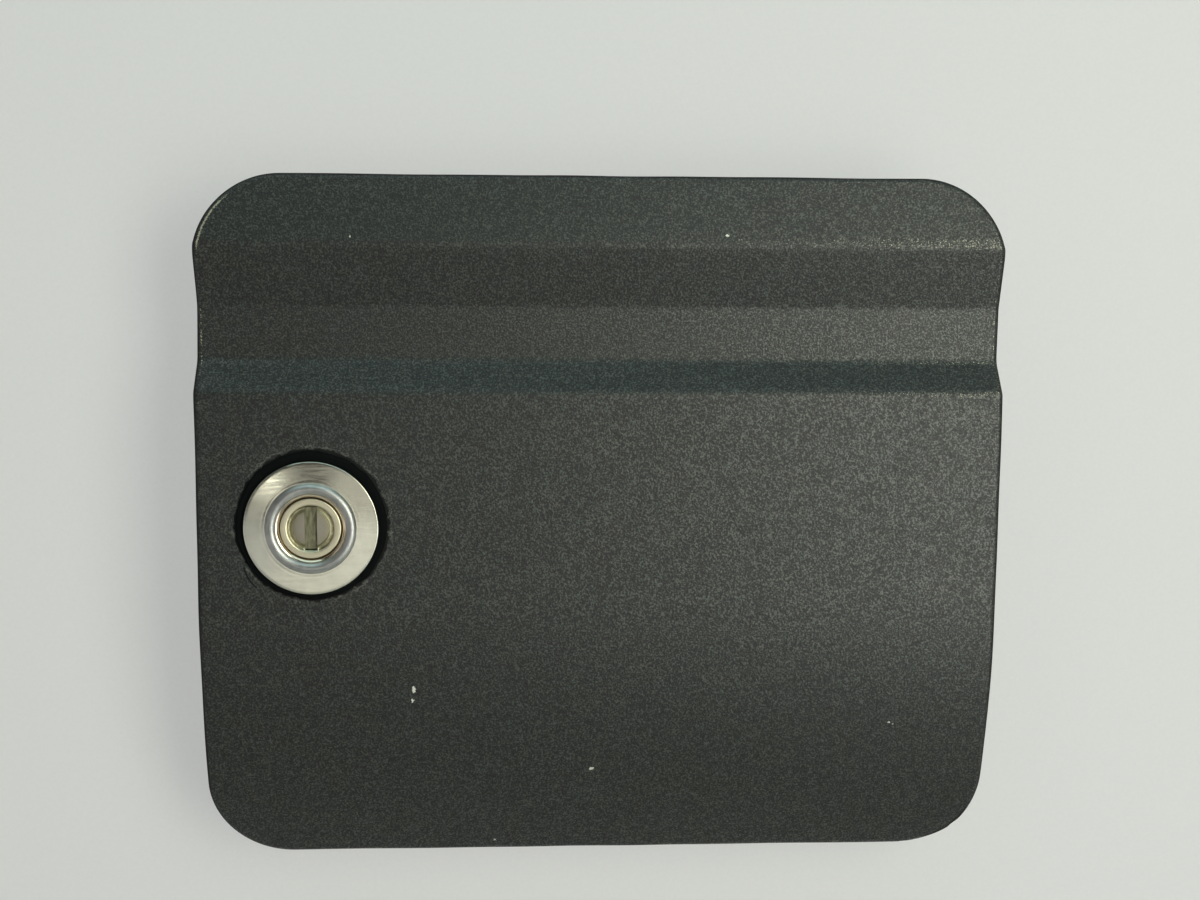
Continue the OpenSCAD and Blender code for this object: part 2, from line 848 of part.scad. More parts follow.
outer_skin();
inner_panel();
hinge_arm();
hinge_rivets();
rubber_bumpers();
lock_gasket();
lock_rosette();
lock_housing();
lock_washer();
lock_nut();
lock_plug();
plug_cap();
lock_wafers();
wafer_springs();
lock_cam();
cam_washer();
cam_screw();
dust_shutter();
shutter_pin();
shutter_spring();
hinge_bracket();
hinge_pin();
pin_clip();
closing_spring();
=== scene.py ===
# A locking car fuel door: a pressed steel panel with its edge folded round an inner panel, in textured black
# paint. A ring lock is clamped through both panels at the left, and a sprung hinge with a screw-on bracket
# carries the door at the right. The sections follow the order in which the pieces are put together.
import json
import math

import bpy
import numpy as np
from mathutils import Matrix, Vector


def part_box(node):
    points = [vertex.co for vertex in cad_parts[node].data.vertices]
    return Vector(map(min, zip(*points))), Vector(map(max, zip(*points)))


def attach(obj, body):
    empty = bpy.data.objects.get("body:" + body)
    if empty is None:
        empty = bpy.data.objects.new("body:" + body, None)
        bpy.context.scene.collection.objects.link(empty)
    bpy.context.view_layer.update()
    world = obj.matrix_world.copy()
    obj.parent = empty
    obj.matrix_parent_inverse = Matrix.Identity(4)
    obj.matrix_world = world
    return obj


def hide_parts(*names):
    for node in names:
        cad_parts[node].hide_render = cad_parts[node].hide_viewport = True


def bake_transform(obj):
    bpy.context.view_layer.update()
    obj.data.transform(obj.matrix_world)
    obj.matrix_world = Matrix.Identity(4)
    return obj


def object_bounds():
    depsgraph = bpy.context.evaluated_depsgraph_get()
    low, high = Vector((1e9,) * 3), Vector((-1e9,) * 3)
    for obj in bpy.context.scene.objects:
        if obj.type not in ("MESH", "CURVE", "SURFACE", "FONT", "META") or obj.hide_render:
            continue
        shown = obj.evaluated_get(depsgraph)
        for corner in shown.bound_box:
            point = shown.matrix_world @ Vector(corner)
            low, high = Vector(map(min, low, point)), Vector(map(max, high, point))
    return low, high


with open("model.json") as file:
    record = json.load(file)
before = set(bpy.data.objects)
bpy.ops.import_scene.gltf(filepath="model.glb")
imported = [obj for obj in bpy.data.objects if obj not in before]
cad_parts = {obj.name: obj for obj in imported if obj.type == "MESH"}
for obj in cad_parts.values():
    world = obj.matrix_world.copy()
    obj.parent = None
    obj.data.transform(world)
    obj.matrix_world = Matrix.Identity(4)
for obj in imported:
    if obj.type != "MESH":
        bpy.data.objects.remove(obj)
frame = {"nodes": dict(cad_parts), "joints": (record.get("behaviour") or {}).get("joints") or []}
cad_low, cad_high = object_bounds()
nodes = frame["nodes"]
joints = {joint["name"]: joint for joint in frame["joints"]}
MM = 0.001


# Outer skin: one steel sheet, 0.8 mm thick, pressed with a ridge and a channel across its upper part and
# curved into the car at the bottom. Its edge is folded back by 8 mm round the inner panel. Stone-chip paint
# covers it, worn through to the pale primer along the ridges and at small chips.
skin_low, skin_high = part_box("outer_skin")
door_w = skin_high.x - skin_low.x
door_h = skin_high.z - skin_low.z
middle_x = (skin_low.x + skin_high.x) / 2
face_y = skin_low.y
base_z = skin_low.z
skin_t = 0.8 * MM
hem_t = 2.3 * MM
hem_w = 8 * MM
corner_r = 17 * MM
crease_r = 2.6 * MM
ridge_z = 128 * MM
floor_top_z = 115.6 * MM
floor_bottom_z = 105 * MM
foot_z = 98.8 * MM
tuck_z = 58 * MM
tuck_angle = math.radians(24)
pressed_line = [          # depth behind the flat face, height above the bottom edge
    (5.96 * MM, 148 * MM),
    (1.1 * MM, ridge_z),
    (5.0 * MM, floor_top_z),
    (5.0 * MM, floor_bottom_z),
    (0.0, foot_z),
    (0.0, tuck_z),
]
lock_x = joints["lock_turn"]["pos_m"][0]
lock_z = joints["lock_turn"]["pos_m"][2]
lock_hole_r = 10.3 * MM
gasket_lift = 0.35 * MM          # the gasket sits a little high under the rosette


def pressed_profile(steps=16):
    """The section of the face from top to bottom as (depth, height): straight runs, an arc of the crease's
    radius at each corner, and one circle arc for the curve into the car."""
    line = np.array(pressed_line)
    points = [line[:1]]
    for before, corner, after in zip(line[:-2], line[1:-1], line[2:]):
        u = (before - corner) / np.linalg.norm(before - corner)
        v = (after - corner) / np.linalg.norm(after - corner)
        half = np.arccos(np.clip(u @ v, -1, 1)) / 2
        centre = corner + (u + v) / np.linalg.norm(u + v) * crease_r / np.sin(half)
        share = np.linspace(0, 1, steps)[:, None]
        chord = corner + (u * (1 - share) + v * share) * crease_r / np.tan(half) - centre
        points.append(centre + crease_r * chord / np.linalg.norm(chord, axis=1)[:, None])
    radius = tuck_z / np.sin(tuck_angle)
    a = np.linspace(0, tuck_angle * 1.02, 60)
    points.append(np.stack([radius * (1 - np.cos(a)), tuck_z - radius * np.sin(a)], 1))
    return np.concatenate(points)[::-1]


profile = pressed_profile()
slope = np.gradient(profile[:, 0], profile[:, 1] + np.arange(len(profile)) * 1e-9)


def on_face(x, z, off):
    """Points at x across and z up the panel, moved off the face by off along the face's own normal, into the
    car."""
    lean = np.interp(z, profile[:, 1], slope)
    length = np.sqrt(1 + lean**2)
    y = np.interp(z, profile[:, 1], profile[:, 0])
    return np.stack(
        [middle_x + x, face_y + y + off / length, base_z + z - off * lean / length], -1
    )


def panel_side(low_rows=26, plain_rows=78, creased_rows=70, high_rows=40):
    """The right side of the outline from bottom to top, as points and outward normals: a quarter circle, a
    straight run and another quarter circle. The rows lie closer where the face is creased."""
    low = np.linspace(-np.pi / 2, 0, low_rows, endpoint=False)
    high = np.linspace(0, np.pi / 2, high_rows + 1)[1:]
    first_crease = foot_z - 2 * crease_r
    run = np.concatenate([
        np.linspace(corner_r, first_crease, plain_rows, endpoint=False),
        np.linspace(first_crease, door_h - corner_r, creased_rows),
    ])
    angle = np.concatenate([low, np.zeros(len(run)), high])
    normal = np.stack([np.cos(angle), np.sin(angle)], 1)
    centre_z = np.concatenate([np.full(low_rows, corner_r), run, np.full(high_rows, door_h - corner_r)])
    point = np.stack([door_w / 2 - corner_r + corner_r * normal[:, 0], centre_z + corner_r * normal[:, 1]], 1)
    return point, normal


def panel_loop(point, normal, u):
    """The whole outline as a closed loop of points and normals, in step with the border of a grid of rows
    whose columns stand at the shares u of the half width."""
    columns = len(u)
    u = u[:, None]
    flat = door_w / 2 - corner_r
    bottom = np.concatenate([u * flat, np.zeros_like(u)], 1)
    top = np.concatenate([-u * flat, np.full_like(u, door_h)], 1)
    mirror = np.array([-1, 1])
    points = np.concatenate([bottom, point[1:], top[1:], (point * mirror)[-2:0:-1]])
    normals = np.concatenate([
        np.tile([0, -1], (columns, 1)),
        normal[1:],
        np.tile([0, 1], (columns - 1, 1)),
        (normal * mirror)[-2:0:-1],
    ])
    return points, normals


outline_faults = (        # across and up, how far it reaches, and how deep it goes inwards, in millimetres
    (76, 5, 6, -0.6),
    (76.3, 5.2, 0.8, 0.22),
    (-79, 116, 9, 0.15),
)


def dressed_outline(points, normals):
    """The outline with its small faults: a slow waviness of the fold from the product of two sines of the
    angle about the middle, and bell curves for a knock at the left and for the bottom right corner, which is
    folded half a millimetre too full and has a nick in it."""
    angle = np.arctan2(points[:, 1] - door_h / 2, points[:, 0])
    wave = 0.06 * MM * (1 + np.sin(17 * angle + 1.3) * np.sin(5 * angle))
    for at_x, at_z, reach, depth in outline_faults:
        away = np.hypot(points[:, 0] - at_x * MM, points[:, 1] - at_z * MM) / (reach * MM)
        wave = wave + depth * MM * np.exp(-away**2)
    return points - normals * wave[:, None]


def mesh_piece(name, points, faces, body, smooth=True):
    """A mesh object from an array of points and a list of arrays of faces, which rides on a body if one is
    named."""
    mesh = bpy.data.meshes.new(name)
    mesh.from_pydata(points.reshape(-1, 3), [], [f for block in faces for f in block.tolist()])
    mesh.update()
    if smooth:
        mesh.polygons.foreach_set("use_smooth", np.ones(len(mesh.polygons), bool))
    piece = bpy.data.objects.new(name, mesh)
    bpy.context.scene.collection.objects.link(piece)
    if body:
        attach(piece, body)
    return piece


def grid_faces(rows, columns):
    """The four-sided faces between neighbouring rows and columns of a grid of points."""
    i = np.arange(rows - 1)[:, None] * columns + np.arange(columns - 1)[None, :]
    return np.stack([i, i + 1, i + columns + 1, i + columns], -1).reshape(-1, 4)


def fold_section():
    """The fold's section as (inset from the outline, depth behind the face): a half circle round the edge,
    the flange that is folded back with its rounded end, and a smaller half circle on the fold's inside."""
    fold_r = hem_t / 2
    inner_r = fold_r - skin_t
    outer_turn = np.linspace(0, np.pi, 13)[1:]
    inner_turn = np.linspace(0, np.pi, 7)[:-1]
    round_edge = [(fold_r - fold_r * np.sin(t), fold_r - fold_r * np.cos(t)) for t in outer_turn]
    flange = [(hem_w * 0.97, hem_t), (hem_w, hem_t - 0.2 * skin_t), (hem_w, hem_t - skin_t)]
    inside = [(fold_r - inner_r * np.sin(t), fold_r + inner_r * np.cos(t)) for t in inner_turn]
    return round_edge + flange + inside


def open_hole(x, z, faces):
    """Takes the faces within the lock's hole out of the grid and pulls the points on its rim onto the hole's
    circle. Returns the points across and up, the faces that are left, and the rim's edges."""
    across = x.ravel() + middle_x - lock_x
    up = z.ravel() + base_z - lock_z
    away = np.hypot(across, up)
    inside = (away[faces] < lock_hole_r).any(1)
    kept, cut = faces[~inside], faces[inside]
    rim = np.intersect1d(kept, cut)
    pull = np.ones(x.size)
    pull[rim] = lock_hole_r / away[rim]
    edges = kept[:, [0, 1, 1, 2, 2, 3, 3, 0]].reshape(-1, 2)
    cut_edges = cut[:, [1, 0, 2, 1, 3, 2, 0, 3]].reshape(-1, 2)
    number = [1, x.size]
    rim_edges = edges[np.isin(edges @ number, cut_edges @ number)]
    return across * pull + lock_x - middle_x, up * pull + lock_z - base_z, kept, rim_edges


def skin_mesh():
    """Front and rear sheets as grids of rows between the sides of the outline, joined round the edge by
    rings that follow the fold's section, and round the lock's hole by a wall. A sine of the column's number
    brings the columns closer together towards the sides, where the paint is worn in a thin line."""
    columns = 174
    crowding = 1.25
    u = np.sin(crowding * np.linspace(-1, 1, columns)) / np.sin(crowding)
    side, side_normal = panel_side()
    rows = len(side)
    reach = side - side_normal * hem_t / 2
    x = reach[:, :1] * u
    z = np.repeat(reach[:, 1:], columns, 1)
    border = np.concatenate([
        np.arange(columns),
        np.arange(1, rows) * columns + columns - 1,
        (rows - 1) * columns + np.arange(columns - 2, -1, -1),
        np.arange(rows - 2, 0, -1) * columns,
    ])
    x, z, kept, rim = open_hole(x, z, grid_faces(rows, columns))
    front = on_face(x, z, 0)
    rear = on_face(x, z, skin_t)
    loop, loop_normal = panel_loop(side, side_normal, u)
    loop = dressed_outline(loop, loop_normal)
    rings = [on_face(*(loop - loop_normal * inset).T, off) for inset, off in fold_section()]
    size, count = len(front), len(loop)
    here = np.arange(count)
    on = (here + 1) % count
    tracks = [border] + [2 * size + k * count + here for k in range(len(rings))] + [size + border]
    bands = [np.stack([one[on], one, two, two[on]], 1) for one, two in zip(tracks[:-1], tracks[1:])]
    wall = np.stack([rim[:, 1], rim[:, 0], rim[:, 0] + size, rim[:, 1] + size], 1)
    points = np.concatenate([front, rear] + rings)
    blocks = [kept, kept[:, ::-1] + size, wall] + bands
    used = np.unique(np.concatenate([block.ravel() for block in blocks]))
    blocks = [np.searchsorted(used, block) for block in blocks]
    return mesh_piece("painted_skin", points[used], blocks, "door"), points[used]


rubbed_ridges = (         # height, place across where it begins and half width in mm, and how worn it is
    (129.1, -40, 1.5, 0.47),
    (127.9, 0, 0.7, 0.50),
    (104.6, 10, 0.9, 0.47),
    (98.6, 0, 1.1, 0.46),
    (128.2, -78, 0.7, 0.36),
)
left_edge_wear = (        # heights in millimetres, and how worn the edge is there
    [60, 95, 105, 113, 118, 126, 128, 136, 139],
    [0.3, 0.42, 0.5, 0.58, 0.35, 0.45, 0.72, 0.7, 0.3],
)
right_edge_wear = ([0, 60, 100, 130, 142], [0.38, 0.36, 0.44, 0.44, 0.36])
edge_wear_inset = 1.15    # millimetres in from the outline, as are the next three
edge_wear_width = 0.36
# Painted shade: the paint is black on the fold's outer edge, up to this far in from the outline, and fades
# inwards over the next width.
painted_edge_shade = 0.8
painted_edge_shade_fade = 0.3


def wear_and_painted_edge_shade(points):
    """How far the paint is rubbed at each point, from 0 to 1: bell curves along the ridges, which grow to
    the right, and one along the outline just inside the fold. It is -1 on the fold's outer edge, which the
    paint makes black as painted shade of the fold turning away from the light."""
    x = (points[:, 0] - middle_x) / MM
    z = (points[:, 2] - base_z) / MM
    half_w = door_w / 2 / MM
    half_h = door_h / 2 / MM
    corner = corner_r / MM
    rub = np.zeros(len(points))
    for at_z, from_x, width, most in rubbed_ridges:
        along = np.clip((x - from_x) / (half_w - from_x), 0, 1) ** 0.4
        rub = np.maximum(rub, most * along * np.exp(-(((z - at_z) / width) ** 2)))
    past_x = np.abs(x) - half_w + corner
    past_z = np.abs(z - half_h) - half_h + corner
    in_corner = (past_x > 0) & (past_z > 0)
    from_centre = np.hypot(np.maximum(past_x, 0), np.maximum(past_z, 0))
    inset = np.where(in_corner, corner - from_centre, corner - np.maximum(past_x, past_z))
    edge_wear = np.where(x < 0, np.interp(z, *left_edge_wear), np.interp(z, *right_edge_wear))
    rub = np.maximum(rub, edge_wear * np.exp(-(((inset - edge_wear_inset) / edge_wear_width) ** 2)))
    return rub - np.clip((painted_edge_shade - inset) / painted_edge_shade_fade, 0, 1)


skin, skin_points = skin_mesh()
# Wear on the ridges and edge, and painted shade on the fold's outer edge, kept on the skin's points.
rubbed = skin.data.attributes.new("rubbed", "FLOAT", "POINT")
rubbed.data.foreach_set("value", wear_and_painted_edge_shade(skin_points).astype(np.float32))
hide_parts("outer_skin")


def finish(name, colour, metallic, roughness):
    """A new material with its shader's constants set."""
    material = bpy.data.materials.new(name)
    material.use_nodes = True
    shader = material.node_tree.nodes["Principled BSDF"]
    shader.inputs["Base Color"].default_value = (*colour, 1)
    shader.inputs["Metallic"].default_value = metallic
    shader.inputs["Roughness"].default_value = roughness
    return material, material.node_tree, shader


def place_of(tree, centre=(0, 0, 0), scale=(1, 1, 1)):
    """Object coordinates, moved so that centre is at nought, and stretched by scale."""
    where = tree.nodes.new("ShaderNodeTexCoord")
    mapping = tree.nodes.new("ShaderNodeMapping")
    mapping.inputs["Location"].default_value = [-c * s for c, s in zip(centre, scale)]
    mapping.inputs["Scale"].default_value = scale
    tree.links.new(where.outputs["Object"], mapping.inputs["Vector"])
    return mapping.outputs["Vector"]


def grain(tree, size, detail=2.0, rough=0.5, scale=(1, 1, 1)):
    """Noise whose spots are about size across, in metres, as a value around a half."""
    noise = tree.nodes.new("ShaderNodeTexNoise")
    noise.inputs["Scale"].default_value = 1 / size
    noise.inputs["Detail"].default_value = detail
    noise.inputs["Roughness"].default_value = rough
    tree.links.new(place_of(tree, scale=scale), noise.inputs["Vector"])
    return noise.outputs["Fac"]


def steps(tree, value, *stops):
    """A value turned into a colour by stops of (value, colour)."""
    ramp = tree.nodes.new("ShaderNodeValToRGB")
    elements = ramp.color_ramp.elements
    while len(elements) < len(stops):
        elements.new(1)
    for element, (position, colour) in zip(elements, stops):
        element.position = position
        element.color = (*colour, 1) if hasattr(colour, "__len__") else (colour, colour, colour, 1)
    tree.links.new(value, ramp.inputs["Fac"])
    return ramp.outputs["Color"]


def sum_up(tree, operation, one, two, clamp=False):
    """One of Blender's operations on two values, each a socket or a number."""
    maths = tree.nodes.new("ShaderNodeMath")
    maths.operation = operation
    maths.use_clamp = clamp
    for socket, value in zip(maths.inputs, (one, two)):
        if hasattr(value, "links"):
            tree.links.new(value, socket)
        else:
            socket.default_value = value
    return maths.outputs[0]


def plus(tree, one, two, clamp=False):
    """One value and another added."""
    return sum_up(tree, "ADD", one, two, clamp)


def minus(tree, one, two, clamp=False):
    """One value less another."""
    return sum_up(tree, "SUBTRACT", one, two, clamp)


def times(tree, one, two, clamp=False):
    """One value times another."""
    return sum_up(tree, "MULTIPLY", one, two, clamp)


def most_of(tree, one, two):
    """The larger of two values."""
    return sum_up(tree, "MAXIMUM", one, two)


def mixed_colours(tree, way, share, below, above):
    """Two colours mixed by one of Blender's ways. The share and the colours are sockets or values."""
    mix = tree.nodes.new("ShaderNodeMix")
    mix.data_type = "RGBA"
    mix.blend_type = way
    if hasattr(share, "links"):
        tree.links.new(share, mix.inputs[0])
    else:
        mix.inputs[0].default_value = share
    for socket, colour in ((mix.inputs[6], below), (mix.inputs[7], above)):
        if hasattr(colour, "links"):
            tree.links.new(colour, socket)
        else:
            socket.default_value = (*colour, 1)
    return mix.outputs[2]


def cover(tree, mask, below, above):
    """The colour above where the mask is 1, and the colour below where it is 0."""
    return mixed_colours(tree, "MIX", mask, below, above)


def relief(tree, shader, height, depth, strength=1.0):
    """Bump from a height socket, depth metres deep."""
    bump = tree.nodes.new("ShaderNodeBump")
    bump.inputs["Distance"].default_value = depth
    bump.inputs["Strength"].default_value = strength
    tree.links.new(height, bump.inputs["Height"])
    tree.links.new(bump.outputs["Normal"], shader.inputs["Normal"])


def away_from(tree, centre, squeeze=(1, 0, 1)):
    """Distance of a point from centre, seen square to the face."""
    length = tree.nodes.new("ShaderNodeVectorMath")
    length.operation = "LENGTH"
    tree.links.new(place_of(tree, centre=centre, scale=squeeze), length.inputs[0])
    return length.outputs["Value"]


chips = (                 # across and up from the bottom edge's middle and half width in mm, and its tallness
    (-38.2, 38.3, 0.31, 1.8),
    (-38.5, 35.7, 0.3, 1.2),
    (-1.8, 20.0, 0.5, 0.6),
    (24.5, 130.1, 0.3, 1.0),
    (-50.0, 129.3, 0.15, 1.0),
    (-22.0, 2.6, 0.22, 1.0),
    (60.0, 30.0, 0.2, 0.7),
    (60.7, 29.6, 0.16, 0.6),
    (66.3, 0.45, 1.2, 0.27),
)


flakes_r = 15.75 * MM          # paint lifted round the gasket
ring_shadow_r = 15.3 * MM             # black inside this radius: painted shadow under the lifted paint
scratch_centre = (lock_x - 6.9 * MM, 0, lock_z - 7.0 * MM)
scratch_r = 6.8 * MM
scratch_middle = (lock_x - 12.7 * MM, 0, lock_z - 10.4 * MM)
# Black for the scratch, for painted shade on the fold's outer edge and for painted shadow round the gasket.
black = (0.001, 0.001, 0.001)
rubbed_primer = (0.40, 0.385, 0.29)
bare_primer = (0.8, 0.79, 0.72)
flake_grey = (0.10, 0.11, 0.095)


def chip_mask(tree, speck):
    """1 inside the chips, whose edges are made ragged by the speck noise, and 0 elsewhere."""
    ragged = times(tree, minus(tree, speck, 0.5), 1.1 * MM)
    chipped = None
    for across, up, half, tall in chips:
        spot = away_from(tree, (middle_x + across * MM, 0, base_z + up * MM), (1, 0, 1 / tall))
        inside = sum_up(tree, "GREATER_THAN", half * MM, plus(tree, spot, ragged))
        chipped = inside if chipped is None else most_of(tree, chipped, inside)
    return chipped


def scratch_mask(tree):
    """1 on a short arc below the lock: near a circle's line, and near the arc's middle."""
    off_line = sum_up(tree, "ABSOLUTE", minus(tree, away_from(tree, scratch_centre), scratch_r), 0)
    on_line = sum_up(tree, "LESS_THAN", off_line, 0.18 * MM)
    return times(tree, on_line, sum_up(tree, "LESS_THAN", away_from(tree, scratch_middle), 2.5 * MM))


def black_paint(name, outside):
    """Stone-chip paint: a dark ground with fine grey-green specks, brownish and bluish clouds and a pebbled
    bump. On the outside there is cream primer where it is rubbed or chipped, lifted flakes round the lock's
    gasket and a black scratch. Black also paints shade: on the fold's outer edge, and as a ring of painted
    shadow under the flakes round the gasket."""
    material, tree, shader = finish(name, (0.03, 0.032, 0.03), 0, 0.5)
    shader.inputs["Specular IOR Level"].default_value = 0.68
    fine = grain(tree, 0.37 * MM, 2, 0.6)
    coarse = grain(tree, 1.1 * MM, 2)
    clouds = grain(tree, 9 * MM, 2)
    mixed = plus(tree, times(tree, fine, 0.82), times(tree, coarse, 0.18))
    ground = steps(
        tree, mixed,
        (0.36, (0.0004, 0.0005, 0.0005)), (0.50, (0.0050, 0.0060, 0.0055)), (0.635, (0.070, 0.074, 0.065)),
    )
    warmth = plus(tree, times(tree, grain(tree, 1.6 * MM, 2), 0.6), times(tree, clouds, 0.4))
    warm = steps(tree, warmth, (0.42, 0.0), (0.58, 1.0))
    tint = cover(tree, warm, (0.94, 1.01, 1.03), (1.05, 1.0, 0.96))
    colour = mixed_colours(tree, "MULTIPLY", 1.0, ground, tint)
    gloss = steps(tree, mixed, (0.40, 0.60), (0.60, 0.34))
    relief(tree, shader, mixed, 0.13 * MM, 0.75)
    if not outside:
        tree.links.new(colour, shader.inputs["Base Color"])
        tree.links.new(gloss, shader.inputs["Roughness"])
        return material
    speck = grain(tree, 0.3 * MM, 2)
    rub = tree.nodes.new("ShaderNodeAttribute")
    rub.attribute_name = "rubbed"
    worn = times(tree, minus(tree, plus(tree, rub.outputs["Fac"], speck), 1.0), 9.0, clamp=True)
    colour = cover(tree, worn, colour, rubbed_primer)
    ring = away_from(tree, (lock_x, 0, lock_z + gasket_lift))
    torn = plus(tree, ring, times(tree, minus(tree, coarse, 0.5), 1.7 * MM))
    off_ring = sum_up(tree, "ABSOLUTE", minus(tree, torn, flakes_r), 0)
    lifted = sum_up(tree, "LESS_THAN", off_ring, 0.11 * MM)
    flakes = times(tree, lifted, sum_up(tree, "GREATER_THAN", warmth, 0.53))
    colour = cover(tree, flakes, colour, flake_grey)
    # Painted shadow: a black ring round the gasket under the lifted flakes, joined with the black scratch.
    ring_shadow_and_scratch = most_of(tree, scratch_mask(tree), sum_up(tree, "LESS_THAN", torn, ring_shadow_r))
    # Painted shade: black where the stored value is below nought on the fold's outer edge, joined with the
    # ring and the scratch, and rough there too.
    painted_shade_and_scratch = most_of(tree, times(tree, rub.outputs["Fac"], -1.0, clamp=True), ring_shadow_and_scratch)
    colour = cover(tree, painted_shade_and_scratch, colour, black)
    colour = cover(tree, chip_mask(tree, speck), colour, bare_primer)
    tree.links.new(colour, shader.inputs["Base Color"])
    tree.links.new(cover(tree, painted_shade_and_scratch, gloss, (0.95, 0.95, 0.95)), shader.inputs["Roughness"])
    return material


skin.data.materials.append(black_paint("black_paint", True))


# Inner panel: a thinner steel sheet with a pressed pan, held in the outer skin's fold. It is painted with
# the skin, and its three round holes save weight and let water out.
def coat(name, material):
    """Gives a CAD node's object one material in place of its own."""
    piece = nodes[name]
    piece.data.materials.clear()
    piece.data.materials.append(material)


coat("inner_panel", black_paint("inner_paint", False))


# Hinge arm, its four rivets, the bracket and the pin, and the lock's nut, washers, cam and screw: pressed
# and turned steel, zinc plated. The arm is riveted to the pan, and the bracket is screwed to the wall of the
# filler pocket.
def plated_steel():
    """Zinc plate with faint yellow and blue clouds, fine drawing lines and a soft sheen."""
    material, tree, shader = finish("plated_steel", (0.55, 0.55, 0.52), 1, 0.36)
    clouds = grain(tree, 7 * MM, 3)
    tree.links.new(
        steps(tree, clouds, (0.3, (0.52, 0.54, 0.56)), (0.5, (0.60, 0.60, 0.58)), (0.7, (0.62, 0.60, 0.53))),
        shader.inputs["Base Color"],
    )
    lines = grain(tree, 0.5 * MM, 3, 0.6, (0.12, 1, 1))
    tree.links.new(steps(tree, lines, (0.3, 0.28), (0.7, 0.46)), shader.inputs["Roughness"])
    relief(tree, shader, lines, 0.01 * MM, 0.5)
    return material


plate = plated_steel()
for name in ("hinge_arm", "hinge_rivets", "hinge_bracket", "hinge_pin"):
    coat(name, plate)
for name in ("lock_washer", "lock_nut", "lock_cam", "cam_washer", "cam_screw"):
    coat(name, plate)


def spring_steel():
    """Dark oiled wire with a fine grain."""
    material, tree, shader = finish("spring_steel", (0.2, 0.2, 0.21), 1, 0.3)
    lines = grain(tree, 0.25 * MM, 2)
    shade = steps(tree, lines, (0.3, (0.13, 0.13, 0.14)), (0.7, (0.3, 0.29, 0.28)))
    tree.links.new(shade, shader.inputs["Base Color"])
    relief(tree, shader, lines, 0.01 * MM, 0.4)
    return material


wire = spring_steel()
for name in ("pin_clip", "wafer_springs", "shutter_pin", "shutter_spring"):
    coat(name, wire)


# Closing spring: 1.6 mm spring wire wound round the pin. One leg lies on the arm's heel and the other is
# hooked through the bracket's upper ear. On the real door it twists as the door opens; here it is one
# fixed shape.
pin = joints["door_hinge"]["pos_m"]
_, spring_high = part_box("closing_spring")
wire_r = 0.8 * MM
coil_r = 4.9 * MM
turns = 5.25
pitch = 2 * MM
arm_leg = 6.4 * MM
leg_out = 8 * MM
bend_r = 1.5 * MM


def spring_line():
    """The wire's line about the pin: a straight leg, a helix that turns clockwise as it rises, a straight
    leg backwards, a quarter bend and a short hook."""
    half = turns * pitch / 2
    leg = np.stack([np.linspace(arm_leg, 0.4 * MM, 8), np.full(8, -coil_r), np.full(8, -half)], 1)
    t = np.linspace(0, turns, int(turns * 40) + 1)
    a = -np.pi / 2 - 2 * np.pi * t
    coil = np.stack([coil_r * np.cos(a), coil_r * np.sin(a), -half + pitch * t], 1)
    back = np.linspace(0.5 * MM, leg_out - bend_r, 8)
    straight = np.stack([np.full(8, -coil_r), back, np.full(8, half)], 1)
    b = np.linspace(0.15, np.pi / 2, 8)
    bend_y = leg_out - bend_r + bend_r * np.sin(b)
    bend = np.stack([np.full(8, -coil_r), bend_y, half + bend_r - bend_r * np.cos(b)], 1)
    up = np.linspace(half + bend_r + 0.4 * MM, spring_high.z - pin[2], 8)
    hook = np.stack([np.full(8, -coil_r), np.full(8, leg_out), up], 1)
    return np.concatenate([leg, coil, straight, bend, hook]) + np.array(pin)


def round_wire(line, radius, sides=14):
    """A tube round a line of points: at each point a circle square to the line, turned as little as possible
    from the one before, closed at both ends."""
    along = np.gradient(line, axis=0)
    along /= np.linalg.norm(along, axis=1)[:, None]
    up = np.zeros_like(line)
    up[0] = np.cross(along[0], [0.0, 1.0, 0.1])
    for i in range(1, len(line)):
        up[i] = up[i - 1] - along[i] * (up[i - 1] @ along[i])
    up /= np.linalg.norm(up, axis=1)[:, None]
    side = np.cross(along, up)
    a = np.linspace(0, 2 * np.pi, sides, endpoint=False)
    ring = np.cos(a)[None, :, None] * up[:, None] + np.sin(a)[None, :, None] * side[:, None]
    return (line[:, None] + radius * ring).reshape(-1, 3), sides


def tube_faces(rings, sides):
    """Faces between neighbouring rings of a tube, and a cap at each end."""
    i = np.arange(rings - 1)[:, None] * sides
    j = np.arange(sides)[None, :]
    k = (j + 1) % sides
    walls = np.stack([i + j, i + k, i + k + sides, i + j + sides], -1).reshape(-1, 4)
    return [walls, np.arange(sides)[None, ::-1], ((rings - 1) * sides + np.arange(sides))[None]]


spring_points, spring_sides = round_wire(spring_line(), wire_r)
spring_rings = len(spring_points) // spring_sides
spring = mesh_piece("wound_spring", spring_points, tube_faces(spring_rings, spring_sides), None)
spring.data.materials.append(wire)
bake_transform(spring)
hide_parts("closing_spring")


# Bumpers and gasket: soft black rubber. The bumpers are glued on the inner panel, where they meet the filler
# pocket, and the gasket is clamped under the lock's rosette and sits a little high.
def black_rubber():
    """Matt rubber with a faint grain and grey dust in its hollows."""
    material, tree, shader = finish("black_rubber", (0.012, 0.012, 0.012), 0, 0.62)
    dust = grain(tree, 0.6 * MM, 4, 0.6)
    dusty = steps(tree, dust, (0.45, (0.006, 0.007, 0.008)), (0.75, (0.035, 0.036, 0.036)))
    tree.links.new(dusty, shader.inputs["Base Color"])
    relief(tree, shader, dust, 0.05 * MM, 0.5)
    return material


rubber = black_rubber()
coat("rubber_bumpers", rubber)


